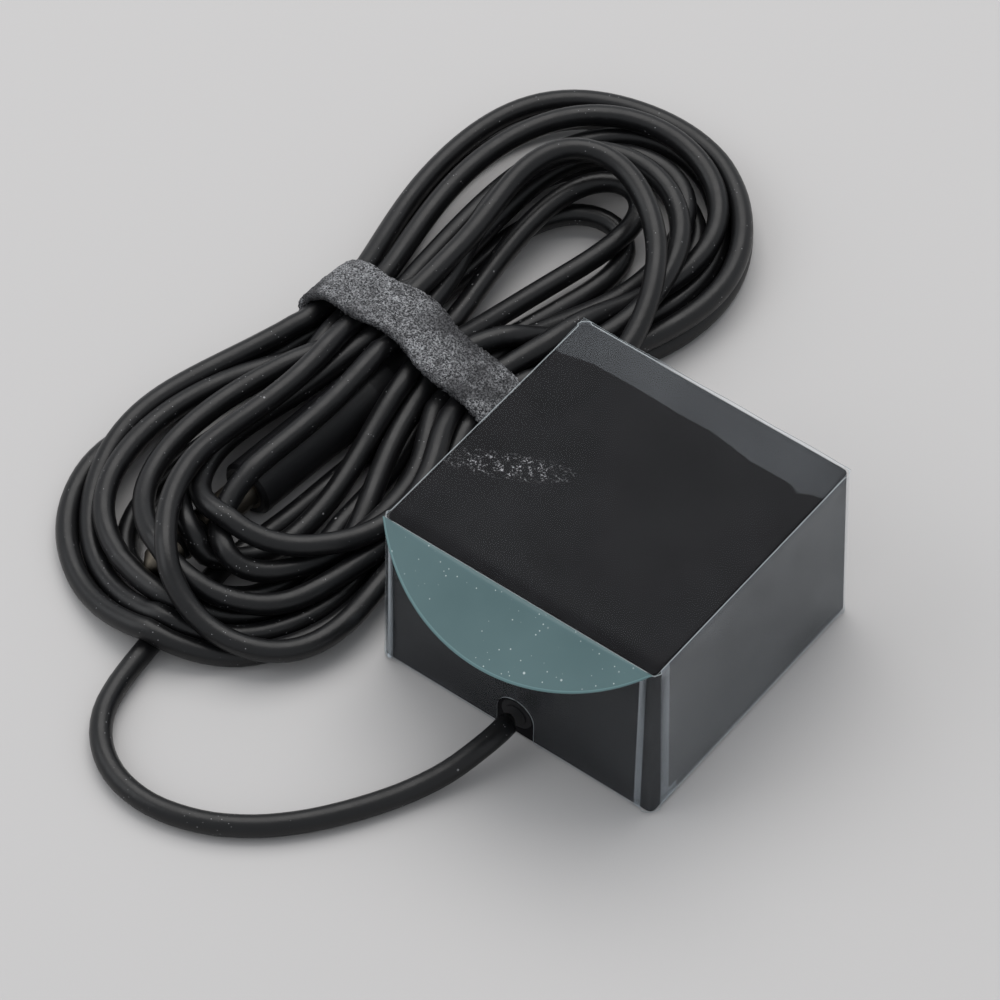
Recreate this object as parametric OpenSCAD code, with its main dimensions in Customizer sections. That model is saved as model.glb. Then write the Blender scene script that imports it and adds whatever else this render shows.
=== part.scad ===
// Infrared extender cable: a small emitter box in its protective films, on a two-core lead
// that is wound into a hank, held by a hook-and-loop tie and ended in a round audio-type plug.
// Millimetres, +Z up. The origin is the middle of the box's footprint on the table.
// The lead leaves the box on its -Y side.

/* [Box] */
// Width of the box across the top, along X
body_w = 31.7; // [26:0.1:40]
// Depth of the box across the top, along Y
body_d = 31.3; // [26:0.1:40]
// Height of the box's top above the table
body_h = 20.75; // [18:0.05:30]
// How far each side leans out from top to bottom
draft = 0.45; // [0.1:0.05:1]
// Radius of the upright corners
corner_r = 0.6; // [0.3:0.1:1.5]
// Thickness of the box's side walls
wall_t = 1.6; // [1.2:0.1:2.2]
// Thickness of the box's roof
roof_t = 1.6; // [1.2:0.1:2.5]
// Gap between the box's rim and the table
rim_gap = 0.3; // [0.1:0.05:0.6]
// Thickness of the base plate
base_t = 1.2; // [1:0.1:1.6]
// Thickness of the foot pad
pad_t = 0.8; // [0.6:0.1:1]

/* [Screws] */
// Distance of each screw from the two walls beside it
screw_inset = 2.75; // [2.6:0.05:4]
// Radius of the screw's shank
screw_r = 0.9; // [0.7:0.05:1.1]
// Radius of the screw's head
screw_head_r = 1.7; // [1.4:0.05:1.9]
// Length of the screw
screw_len = 9; // [7:0.5:12]
// Radius of the posts that the screws bite into
post_r = 2.2; // [1.9:0.1:2.5]

/* [Circuit] */
// Clearance between the circuit board and the walls
board_gap = 0.35; // [0.2:0.05:0.8]
// Thickness of the circuit board
board_t = 1.2; // [0.8:0.1:1.6]
// Height of the board's underside above the base plate
board_lift = 3.4; // [3.2:0.1:4.5]
// Radius of the upward emitter's lens
top_led_r = 2.5; // [1.5:0.1:2.5]
// Height of the upward emitter's lens
top_led_h = 8.6; // [5:0.1:9]
// Radius of the four sideways emitters' lenses
side_led_r = 1.5; // [1:0.1:1.7]
// Length of the sideways emitters' lenses
side_led_h = 5.3; // [4:0.1:5.8]
// Thickness of the emitters' legs
leg_w = 0.5; // [0.4:0.05:0.6]
// Length, width and height of a chip resistor
chip = [3.2, 1.6, 0.6];

/* [Lead] */
// Diameter of the lead
lead_d = 2.3; // [1.8:0.05:2.5]
// Diameter of one insulated core
core_d = 0.8; // [0.6:0.05:0.9]
// Height of the lead's exit above the table
exit_z = 2.9; // [2.8:0.1:3.2]
// Radius of the bush in the box's wall
bush_r = 1.8; // [1.6:0.05:1.9]
// How far the lead reaches into the box
tail_in = 8; // [6:0.5:9]
// How far its two cores run on to the board
core_run = 4; // [2.5:0.5:5]

/* [Films] */
// Thickness of the clear protective films
film_t = 0.12; // [0.08:0.01:0.2]
// Thickness of the pull tab
tab_t = 0.2; // [0.15:0.01:0.3]
// How far the pull tab reaches from the box's edge
tab_reach = 7.8; // [5:0.1:10]
// How far the pull tab droops below level, in degrees
tab_droop = 39; // [20:1:60]
// Width of the arch cut out of the side film round the lead
arch_w = 4.4; // [4:0.1:6]

/* [Hank] */
// Turns of the lead in the hank, in three layers
hank_turns = 9; // [9:1:11]
// Half the length of the outermost turn
hank_half = 43.5; // [43.5:0.5:60]
// Half the width of the innermost turn at the waist
waist_in = 3.95; // [3.95:0.05:5]
// Step between turns at the waist
waist_step = 2.75; // [2.75:0.05:3.2]
// Step between turns at the ends of the hank
end_step = 4; // [3.2:0.1:4]
// Step from layer to layer
layer_step = 2.75; // [2.75:0.05:3.2]
// How far the low end of the hank is raised to lie over the plug's pin
low_lift = 5.7; // [5.7:0.1:8]
// Width of the hook-and-loop tie
tie_w = 6.3; // [5:0.1:8]
// Thickness of the tie
tie_t = 1; // [0.8:0.05:1.1]

/* [Plug] */
// Radius of the plug's moulded body
plug_r = 3; // [2.6:0.05:3]
// Length of the plug's moulded body
plug_len = 20; // [18:0.5:22]
// Length of the flexible sleeve behind the body
relief_len = 8; // [6:0.5:9]
// Radius of the flexible sleeve where it leaves the body
relief_r = 1.75; // [1.6:0.05:1.8]
// Radius of the metal pin
pin_r = 1.75; // [1.25:0.05:1.75]
// Length of the pin's earth sleeve outside the body
pin_sleeve_len = 6.6; // [6:0.1:7]
// Length of the pin's ring contact
pin_ring_len = 2.2; // [1.8:0.1:2.6]
// Length of the pin's tip contact
pin_tip_len = 4; // [3.5:0.1:4.5]
// Length of each black insulator between the contacts
pin_gap_len = 0.6; // [0.5:0.05:0.8]

/* [Hidden] */
fit = 0.15;      // clearance round a rigid piece that drops into another
run_gap = 0.05;  // clearance round a pin, leg or screw in its hole
film_gap = 0.03; // between a film and what it clings to
soft_gap = 0.35; // round soft pieces
over = 0.5;      // overrun of a cut
round_fn = 48;
small_fn = 24;
lead_r = lead_d / 2;
shell_h = body_h - rim_gap;
base_z = pad_t;
base_top = base_z + base_t;
board_z = base_top + board_lift;
board_top = board_z + board_t;
roof_z = body_h - roof_t;
lean = draft / shell_h;
film_top = body_h + film_gap + film_t;
film_out = film_gap + film_t;
cavity_w = body_w - 2 * wall_t;
cavity_d = body_d - 2 * wall_t;
exit_y = -(body_d / 2 + lean * (body_h - exit_z) + film_out);

// A block whose sides lean out towards the bottom, grown by a margin on each side
module leaning_block(w, d, z0, z1, grow, r) {
  hull()
    for (z = [z0, z1])
      for (sx = [-1, 1], sy = [-1, 1])
        let (g = grow + lean * (body_h - z) - r)
          translate([sx * (w / 2 + g), sy * (d / 2 + g), z == z0 ? z0 : z1 - skin])
            cylinder(r = r, h = skin, $fn = small_fn);
}
skin = 0.01;     // thickness of the slices that a hull joins

module at_screws() {
  for (sx = [-1, 1], sy = [-1, 1])
    translate([sx * (cavity_w / 2 - screw_inset), sy * (cavity_d / 2 - screw_inset), 0])
      children();
}

// The box
module top_shell() {
  color([0.16, 0.16, 0.17])
    difference() {
      union() {
        difference() {
          leaning_block(body_w, body_d, rim_gap, body_h, 0, corner_r);
          translate([-cavity_w / 2, -cavity_d / 2, rim_gap - over])
            cube([cavity_w, cavity_d, roof_z - rim_gap + over]);
        }
        at_screws()
          translate([0, 0, board_top])
            cylinder(r = post_r, h = roof_z - board_top + skin, $fn = round_fn);
      }
      at_screws()
        translate([0, 0, board_top - over])
          cylinder(r = screw_r + run_gap, h = screw_len, $fn = round_fn);
      translate([0, 0, exit_z])
        rotate([90, 0, 0])
          cylinder(r = bush_r + run_gap, h = body_d, $fn = round_fn);
    }
}

module base_plate() {
  w = cavity_w - 2 * fit;
  d = cavity_d - 2 * fit;
  color([0.13, 0.13, 0.14])
    difference() {
      union() {
        translate([-w / 2, -d / 2, base_z])
          cube([w, d, base_t]);
        at_screws()
          translate([0, 0, base_top])
            cylinder(r = post_r, h = board_lift, $fn = round_fn);
      }
      at_screws() {
        translate([0, 0, base_z - over])
          cylinder(r = screw_r + 2 * run_gap, h = base_t + board_lift + 2 * over, $fn = round_fn);
        translate([0, 0, base_z])
          cylinder(r1 = screw_head_r + run_gap, r2 = screw_r, h = screw_head_r - screw_r, $fn = round_fn);
      }
      translate([-collar_w / 2 - fit, -d / 2 - over, base_z - over])
        cube([collar_w + 2 * fit, collar_t + fit + over, base_t + 2 * over]);
      translate([0, 0, exit_z])
        rotate([90, 0, 0])
          cylinder(r = lead_r + fit, h = d, $fn = round_fn);
    }
}
collar_w = 2 * bush_r + 1.2 * wall_t; // width of the bush's inner collar
collar_t = wall_t;                    // thickness of that collar

module base_screws() {
  color("silver")
    at_screws()
      translate([0, 0, base_z]) {
        cylinder(r1 = screw_head_r, r2 = screw_r, h = screw_head_r - screw_r, $fn = round_fn);
        cylinder(r = screw_r, h = screw_len, $fn = round_fn);
      }
}

module foot_pad() {
  w = cavity_w - 4 * fit;
  d = cavity_d - 4 * fit;
  color([0.1, 0.1, 0.1])
    translate([-w / 2, -d / 2, 0])
      cube([w, d, pad_t]);
}

// The circuit
leg_r = leg_w / 2;
leg_pitch = 2.54;         // distance between an emitter's two legs
board_w = cavity_w - 2 * board_gap;
board_d = cavity_d - 2 * board_gap;
side_z = board_top + side_led_r * 1.3 + run_gap;
solder_h = 0.9;
leg_below = 0.8;
leg_stand = 1.2;          // how far the upward emitter stands off the board
led_flange_h = 0.8;
led_flange_share = 1.2;   // flange radius as a share of the lens radius

// An emitter standing on its flange at the origin, its lens up
module emitter(r, h) {
  cylinder(r = r * led_flange_share, h = led_flange_h, $fn = small_fn);
  cylinder(r = r, h = h - r, $fn = small_fn);
  translate([0, 0, h - r])
    sphere(r = r, $fn = small_fn);
}

module circuit_board() {
  color([0.1, 0.35, 0.2])
    translate([0, 0, board_z])
      difference() {
        translate([-board_w / 2, -board_d / 2, 0])
          cube([board_w, board_d, board_t]);
        at_screws()
          translate([0, 0, -over])
            cylinder(r = screw_r + 2 * run_gap, h = board_t + 2 * over, $fn = round_fn);
        translate([0, 0, -over]) {
          leg_places()
            cylinder(r = leg_r + run_gap, h = board_t + 2 * over, $fn = small_fn);
          core_places()
            cylinder(r = core_d / 2 + run_gap, h = board_t + 2 * over, $fn = small_fn);
        }
      }
}

// How far out a sideways emitter's tip is, and where its legs go down
function side_tip(turn) = (turn % 180 == 0 ? cavity_w : cavity_d) / 2 - wall_t / 2;
function side_legs(turn) = side_tip(turn) - side_led_h - 2 * leg_w;

module leg_places() {
  for (s = [-1, 1])
    translate([s * leg_pitch / 2, 0, 0])
      children();
  for (turn = [0:90:270], s = [-1, 1])
    rotate([0, 0, turn])
      translate([side_legs(turn), s * leg_pitch / 2, 0])
        children();
}

core_y = exit_y + tail_in + core_run;
core_pitch = 2 * core_d;
module core_places() {
  for (s = [-1, 1])
    translate([s * core_pitch / 2, core_y, 0])
      children();
}

module top_emitter() {
  color([0.25, 0.2, 0.35])
    union() {
      translate([0, 0, board_top + leg_stand])
        emitter(top_led_r, top_led_h);
      for (s = [-1, 1])
        translate([s * leg_pitch / 2, 0, board_z - leg_below])
          cylinder(r = leg_r, h = leg_below + board_t + leg_stand + skin, $fn = small_fn);
    }
}

module side_emitters() {
  bend = 2 * leg_w;
  color([0.25, 0.2, 0.35])
    for (turn = [0:90:270])
      rotate([0, 0, turn]) {
        translate([side_tip(turn) - side_led_h, 0, side_z])
          rotate([0, 90, 0])
            emitter(side_led_r, side_led_h);
        for (s = [-1, 1]) {
          translate([side_legs(turn), s * leg_pitch / 2, board_z - leg_below])
            cylinder(r = leg_r, h = side_z + leg_below - board_z, $fn = small_fn);
          translate([side_legs(turn), s * leg_pitch / 2, side_z])
            sphere(r = leg_r, $fn = small_fn);
          translate([side_legs(turn), s * leg_pitch / 2, side_z])
            rotate([0, 90, 0])
              cylinder(r = leg_r, h = bend + skin, $fn = small_fn);
        }
      }
}

chip_places_share = [[-0.3, 0.2], [-0.3, -0.2], [0.3, 0.2], [0.3, -0.2], [0.2, 0.3]];
module resistors() {
  cap = chip[0] / 6;
  color([0.2, 0.2, 0.22])
    for (p = chip_places_share)
      translate([p[0] * board_w, p[1] * board_d, board_top]) {
        translate([-chip[0] / 2, -chip[1] / 2, 0])
          cube([chip[0], chip[1], chip[2] * 0.9]);
        for (s = [-1, 1])
          translate([s * (chip[0] - cap) / 2 - cap / 2, -chip[1] / 2, 0])
            cube([cap, chip[1], chip[2]]);
      }
}

module solder_joints() {
  color([0.75, 0.76, 0.78]) {
    translate([0, 0, board_z - solder_h])
      leg_places()
        difference() {
          cylinder(r1 = leg_w, r2 = 2 * leg_w, h = solder_h, $fn = small_fn);
          translate([0, 0, -over])
            cylinder(r = leg_r + run_gap, h = solder_h + 2 * over, $fn = small_fn);
        }
    translate([0, 0, board_top])
      core_places()
        difference() {
          cylinder(r1 = core_d * 0.9, r2 = core_d * 0.6, h = solder_h, $fn = small_fn);
          translate([0, 0, -over])
            cylinder(r = core_d / 2 + run_gap, h = solder_h + 2 * over, $fn = small_fn);
        }
  }
}

// The lead's end inside the box
module cable_bush() {
  wall_in = -cavity_d / 2;
  color([0.06, 0.06, 0.06])
    difference() {
      intersection() {
        union() {
          translate([0, wall_in + run_gap + skin, exit_z])
            rotate([90, 0, 0])
              cylinder(r = bush_r, h = body_d, $fn = round_fn);
          translate([-collar_w / 2, wall_in + run_gap, base_z])
            cube([collar_w, collar_t, collar_w]);
        }
        translate([-body_w / 2, exit_y + film_out, base_z + run_gap])
          cube([body_w, body_d, board_z - base_z - 2 * run_gap]);
      }
      translate([0, over, exit_z])
        rotate([90, 0, 0])
          cylinder(r = lead_r + run_gap, h = body_d, $fn = round_fn);
    }
}

module inner_cable() {
  color([0.05, 0.05, 0.05])
    translate([0, exit_y + tail_in, exit_z])
      rotate([90, 0, 0])
        cylinder(r = lead_r, h = tail_in, $fn = round_fn);
}

module core_wires() {
  bend = core_d;
  start = exit_y + tail_in;
  color([0.6, 0.1, 0.1])
    for (s = [-1, 1])
      translate([s * core_pitch / 2, 0, 0]) {
        translate([0, core_y - bend, exit_z])
          rotate([90, 0, 0])
            cylinder(r = core_d / 2, h = core_y - bend - start, $fn = small_fn);
        translate([0, core_y - bend, exit_z + bend])
          rotate([90, 0, 90])
            rotate([0, 0, -90])
              rotate_extrude(angle = 90, $fn = small_fn)
                translate([bend, 0])
                  circle(r = core_d / 2, $fn = small_fn);
        translate([0, core_y, exit_z + bend])
          cylinder(r = core_d / 2, h = board_top + solder_h / 2 - exit_z - bend, $fn = small_fn);
      }
}

// The protective films
module top_film() {
  w = body_w + 2 * film_out;
  d = body_d + 2 * film_out;
  color([0.75, 0.78, 0.8, 0.3])
    translate([-w / 2, -d / 2, body_h + film_gap])
      cube([w, d, film_t]);
}

module side_film() {
  color([0.75, 0.78, 0.8, 0.3])
    difference() {
      leaning_block(body_w, body_d, rim_gap, body_h, film_out, corner_r);
      leaning_block(body_w, body_d, rim_gap - over, body_h + over, film_gap, corner_r);
      translate([0, 0, exit_z])
        rotate([90, 0, 0])
          cylinder(r = arch_w / 2, h = body_d, $fn = round_fn);
      translate([-arch_w / 2, -body_d, rim_gap - over])
        cube([arch_w, body_d, exit_z - rim_gap + over]);
    }
}

tab_gap = 0.3;   // between the fold and the film's edge, each way
fold_y = -(body_d / 2 + film_out + tab_gap);
fold_z = film_top + tab_gap;
module pull_tab() {
  half = body_w / 2;
  curve_r = (half * half + tab_reach * tab_reach) / (2 * tab_reach);
  color([0.35, 0.55, 0.57, 0.6])
    translate([0, fold_y, fold_z])
      rotate([tab_droop, 0, 0])
        translate([0, 0, -tab_t / 2])
          linear_extrude(tab_t)
            rotate([0, 0, 180])
              intersection() {
                translate([0, tab_reach - curve_r])
                  circle(r = curve_r, $fn = 4 * round_fn);
                translate([-curve_r, 0])
                  square([2 * curve_r, curve_r]);
              }
}

// The lead. Its free stretch goes through points chosen by hand, and so do the two ends of the hank.
lead_points = [[0, -18.8, 2.9], [-0.4, -21.2, 2.6], [-1.6, -25, 1.7], [-3.6, -29.3, 1.2],
  [-6.4, -34.1, 1.2], [-9.3, -37.9, 1.2], [-12.7, -41.1, 1.2], [-16.9, -43.6, 1.2],
  [-22.2, -44.9, 1.2], [-27, -44.2, 1.2], [-30.5, -42, 1.2], [-32.7, -39, 1.2],
  [-33.7, -35.9, 1.2], [-34.1, -33.4, 1.2]];
lead_route = concat([[0, exit_y, exit_z]], lead_points);
lead_end = lead_route[len(lead_route) - 1];
lead_heading = (lead_end - lead_route[len(lead_route) - 2]) / norm(lead_end - lead_route[len(lead_route) - 2]);

// Places in the hank are [along, across, up]: along its length to the far end, across to the left
hank_at = [-35.6, 11.65];
hank_turn = 85;
waist_lift = tie_t + soft_gap;
layers = 3;          // layers of the hank, one above the other
turns_each = hank_turns / layers;
top_layer = (layers - 1) * layer_step;
plug_z = relief_r + tie_t + soft_gap;
plug_side = 0.9;     // how far the plug lies to the left of the hank's middle line
plug_front = -22;    // where the face of the plug's body is, along the hank
relief_end = plug_front + plug_len + relief_len;
waist_draw = 1.6;    // how much wider the hank swells on each side of the waist, a share
lift_table = [[-28, low_lift], [-6, waist_lift], [8, waist_lift], [32, 0]];
entry_points = [[-37, -4.1, 1.2], [-31, -5.5, 1.2], [-25, -8.6, 1.2], [-19, -12, 1.4], [-13, -14, 1.9],
  [-6.5, -13.2, 2.4]];
exit_points = [[8, -4, 8], [15, -4.3, 7.7], [19.6, -4.4, 7.3], [22.8, -3.6, 7], [24.6, -1.5, 6.6],
  [24.7, 1.1, 6.1], [22.9, 3, 5.8], [19, 3.5, 5.5], [14.5, 3, 4.5], [10.8, 1.6, 3.6]];

module in_hank() {
  translate([hank_at[0], hank_at[1], 0])
    rotate([0, 0, hank_turn])
      children();
}

function to_hank(p) =
  let (d = [p[0] - hank_at[0], p[1] - hank_at[1]])
    [d[0] * cos(hank_turn) + d[1] * sin(hank_turn), d[1] * cos(hank_turn) - d[0] * sin(hank_turn), p[2]];

// s counts turns from the waist. The spiral works in, out and in, one layer each way.
turn_rings = 24;
hank_shift = 0.2;    // how far the turns' middle lies to the left of the hank's middle line
function inset(s) = turns_each * (1 - abs((s / turns_each) % 2 - 1));
function climbed(s) =
  [for (k = [1:layers - 1]) min(1, max(0, 2 * (s - k * turns_each) + 0.5))] * [for (k = [1:layers - 1]) 1];
function turn_point(s) =
  let (
    a = 360 * s - 90,
    half = hank_half - inset(s) * end_step,
    waist = waist_in + (turns_each - inset(s)) * waist_step,
    along = half * cos(a),
    across = waist * sin(a) * (1 + waist_draw * cos(a) * cos(a))
  )
    [along, hank_shift + across, lead_r + lookup(along, lift_table) + climbed(s) * layer_step];

hank_start = to_hank(lead_end);
hank_ahead = to_hank(lead_end + lead_d * lead_heading);
plug_tail = [relief_end, plug_side, plug_z];
hank_route = concat(
  [hank_start, hank_ahead],
  entry_points,
  [for (i = [0:hank_turns * turn_rings]) turn_point(i / turn_rings)],
  exit_points,
  [plug_tail + [lead_d, 0, 0], plug_tail]
);

// A tube of triangles along a route, its two ends square to the route
function unit(v) = v / norm(v);
function heading(route, i) =
  i == 0 ? unit(route[1] - route[0]) :
  i == len(route) - 1 ? unit(route[i] - route[i - 1]) :
  unit(unit(route[i + 1] - route[i]) + unit(route[i] - route[i - 1]));

module tube(route, r, sides) {
  n = len(route);
  rings = [for (i = [0:n - 1])
    let (t = heading(route, i), side = unit([t[1], -t[0], 0]), up = cross(side, t))
      for (k = [0:sides - 1])
        route[i] + r * (cos(360 * k / sides) * side + sin(360 * k / sides) * up)];
  walls = [for (i = [0:n - 2], k = [0:sides - 1])
    let (a = i * sides + k, b = i * sides + (k + 1) % sides)
      each [[a, a + sides, b], [b, a + sides, b + sides]]];
  caps = [for (k = [1:sides - 2])
    each [[0, k, k + 1], [(n - 1) * sides, (n - 1) * sides + k + 1, (n - 1) * sides + k]]];
  polyhedron(points = rings, faces = concat(walls, caps));
}

// The least gap between one stretch of a tube and any other, from points along it
function finer(route) = [for (i = [0:len(route) - 2], t = [0, 1 / 3, 2 / 3])
  route[i] + t * (route[i + 1] - route[i])];
function least_gap(route, d) =
  let (p = finer(route), apart = 12)
    min([for (i = [0:len(p) - 1 - apart], j = [i + apart:len(p) - 1])
      if (j - i > apart + 6 || norm(p[i] - p[j]) > 2 * d) norm(p[i] - p[j])]) - d;
function route_length(route) = [for (i = [1:len(route) - 1]) norm(route[i] - route[i - 1])]
  * [for (i = [1:len(route) - 1]) 1];

module cable_lead() {
  color([0.05, 0.05, 0.05])
    tube(lead_route, lead_r, 8);
  echo(free_length = route_length(lead_route));
}

module cable_hank() {
  echo(hank_length = route_length(hank_route), turns = hank_turns, least_gap = least_gap(hank_route, lead_d));
  color([0.05, 0.05, 0.05])
    in_hank()
      tube(hank_route, lead_r, 6);
}

// A flat shape with round corners, from its lowest corner
module rounded(w, h, r) {
  translate([r, 0])
    square([w - 2 * r, h]);
  translate([0, r])
    square([w, h - 2 * r]);
  for (x = [r, w - r], y = [r, h - r])
    translate([x, y])
      circle(r = r, $fn = round_fn);
}

tie_at = 2;          // middle of the tie, along the hank
tie_corner = 3 * tie_t;
module hank_tie() {
  half = waist_in + turns_each * waist_step + lead_r + soft_gap;
  high = waist_lift + top_layer + lead_d + soft_gap - tie_t;
  color([0.3, 0.3, 0.3])
    in_hank()
      translate([tie_at - tie_w / 2, 0, 0])
        rotate([90, 0, 90])
          linear_extrude(tie_w)
            translate([hank_shift - half - tie_t, 0])
              difference() {
                rounded(2 * (half + tie_t), high + 2 * tie_t, tie_corner);
                translate([tie_t, tie_t])
                  rounded(2 * half, high, tie_corner - tie_t);
              }
}

// The plug. Its pieces stand on the face of the moulded body, and the pin points up.
module in_plug() {
  in_hank()
    translate([plug_front, plug_side, plug_z])
      rotate([0, -90, 0])
        children();
}

module ring_of(outer, inner, z0, z1) {
  translate([0, 0, z0])
    difference() {
      cylinder(r = outer, h = z1 - z0, $fn = round_fn);
      translate([0, 0, -over])
        cylinder(r = inner, h = z1 - z0 + 2 * over, $fn = round_fn);
    }
}

flange_r = plug_r * 0.7;
flange_t = plug_r * 0.4;
mould_len = plug_len * 0.45;      // the inner moulding's length
mould_z = -flange_t - 2 * flange_t; // where it starts, behind the flange
mould_end = mould_z - mould_len;
rod_r = pin_r * 0.4;
bush_in_r = pin_r * 0.7;          // outside of the insulator round the rod
neck_r = pin_r * 0.9;             // the sleeve behind its flange, and the insulating rings
ring_z = pin_sleeve_len + pin_gap_len;
tip_z = ring_z + pin_ring_len + pin_gap_len;
chamfer = plug_r * 0.12;

module plug_body() {
  color([0.06, 0.06, 0.06])
    rotate_extrude_in_plug([
      [lead_r + run_gap, -plug_len], [plug_r * 0.85, -plug_len], [plug_r, -plug_len * 0.85],
      [plug_r, -chamfer], [plug_r - chamfer, 0], [flange_r + run_gap, 0],
      [flange_r + run_gap, mould_end], [lead_r + run_gap, mould_end]
    ]);
}

module rotate_extrude_in_plug(outline) {
  in_plug()
    rotate_extrude($fn = round_fn)
      polygon(outline);
}

module plug_relief() {
  color([0.06, 0.06, 0.06])
    rotate_extrude_in_plug([
      [lead_r + run_gap, -plug_len - relief_len], [relief_r * 0.85, -plug_len - relief_len],
      [relief_r, -plug_len], [lead_r + run_gap, -plug_len]
    ]);
}

module plug_premould() {
  color([0.8, 0.8, 0.76])
    in_plug()
      difference() {
        translate([0, 0, mould_end])
          cylinder(r = flange_r, h = mould_len, $fn = round_fn);
        translate([0, 0, mould_end - over])
          cylinder(r = bush_in_r + run_gap, h = mould_len + 2 * over, $fn = round_fn);
      }
}

module plug_wires() {
  color([0.6, 0.1, 0.1])
    in_plug() {
      translate([0, 0, -plug_len - relief_len])
        cylinder(r = lead_r, h = relief_len + plug_len + mould_end, $fn = round_fn);
      for (s = [-1, 1])
        translate([0, s * wire_r, mould_end])
          cylinder(r = wire_r - run_gap, h = mould_len / 3, $fn = small_fn);
    }
}
wire_r = (bush_in_r - run_gap) / 2;

module plug_sleeve() {
  color([0.8, 0.75, 0.6])
    in_plug() {
      difference() {
        union() {
          translate([0, 0, mould_z])
            cylinder(r = neck_r, h = -mould_z, $fn = round_fn);
          translate([0, 0, -flange_t])
            cylinder(r = flange_r, h = flange_t, $fn = round_fn);
          translate([0, 0, -flange_t / 2])
            cylinder(r = pin_r, h = pin_sleeve_len + flange_t / 2, $fn = round_fn);
        }
        translate([0, 0, mould_z - over])
          cylinder(r = bush_in_r + run_gap, h = pin_sleeve_len - mould_z + 2 * over, $fn = round_fn);
      }
    }
}

module plug_ring() {
  color([0.8, 0.75, 0.6])
    in_plug()
      ring_of(pin_r, rod_r + run_gap, ring_z, ring_z + pin_ring_len);
}

module plug_insulators() {
  color([0.08, 0.08, 0.08])
    in_plug() {
      ring_of(neck_r, rod_r + run_gap, pin_sleeve_len, ring_z);
      ring_of(neck_r, rod_r + run_gap, ring_z + pin_ring_len, tip_z);
      ring_of(bush_in_r, rod_r + run_gap, mould_z - flange_t, pin_sleeve_len - run_gap);
    }
}

module plug_core() {
  color([0.75, 0.65, 0.35])
    in_plug()
      translate([0, 0, mould_end + mould_len / 3 + run_gap])
        cylinder(r = rod_r, h = tip_z - mould_end - mould_len / 3 - run_gap, $fn = round_fn);
}

module plug_tip() {
  l = pin_tip_len;
  color([0.8, 0.75, 0.6])
    in_plug()
      translate([0, 0, tip_z])
        rotate_extrude($fn = round_fn)
          polygon([
            [0, 0], [pin_r * 0.8, 0], [pin_r * 0.65, l * 0.2], [pin_r * 0.7, l * 0.3], [pin_r, l * 0.5],
            [pin_r * 0.92, l * 0.65], [pin_r * 0.5, l * 0.88], [pin_r * 0.25, l], [0, l]
          ]);
}

top_shell();
base_plate();
base_screws();
foot_pad();
circuit_board();
top_emitter();
side_emitters();
resistors();
solder_joints();
cable_bush();
inner_cable();
core_wires();
top_film();
side_film();
pull_tab();
cable_lead();
cable_hank();
hank_tie();
plug_body();
plug_relief();
plug_premould();
plug_wires();
plug_sleeve();
plug_ring();
plug_tip();
plug_insulators();
plug_core();
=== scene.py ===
import bpy
import bmesh
import math
import numpy as np
from mathutils import Matrix, Vector


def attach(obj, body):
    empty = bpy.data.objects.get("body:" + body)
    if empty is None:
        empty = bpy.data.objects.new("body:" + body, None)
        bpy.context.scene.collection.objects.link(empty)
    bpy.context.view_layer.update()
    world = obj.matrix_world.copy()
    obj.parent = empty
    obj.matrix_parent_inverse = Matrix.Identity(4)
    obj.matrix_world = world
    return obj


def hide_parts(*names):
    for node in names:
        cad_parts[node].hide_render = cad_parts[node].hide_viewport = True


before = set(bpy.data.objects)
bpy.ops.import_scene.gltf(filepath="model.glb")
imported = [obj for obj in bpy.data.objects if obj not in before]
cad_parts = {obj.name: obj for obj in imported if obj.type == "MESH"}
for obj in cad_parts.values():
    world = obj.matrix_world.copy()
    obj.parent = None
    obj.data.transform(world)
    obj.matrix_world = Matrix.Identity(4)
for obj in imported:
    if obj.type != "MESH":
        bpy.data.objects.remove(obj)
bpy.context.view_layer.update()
mm = 0.001


# Helpers

# A new mesh object from points in millimetres.
def meshPiece(name, verts, faces, mat=None, body="box"):
    data = bpy.data.meshes.new(name)
    data.from_pydata([tuple(c * mm for c in v) for v in verts], [], [tuple(f) for f in faces])
    data.update()
    obj = bpy.data.objects.new(name, data)
    bpy.context.scene.collection.objects.link(obj)
    if mat:
        data.materials.append(mat)
    for poly in data.polygons:
        poly.use_smooth = True
    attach(obj, body)
    return obj


# A colour with its alpha, or the socket that was given.
def rgba(value):
    return value if isinstance(value, bpy.types.NodeSocket) else (*value, 1)


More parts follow.
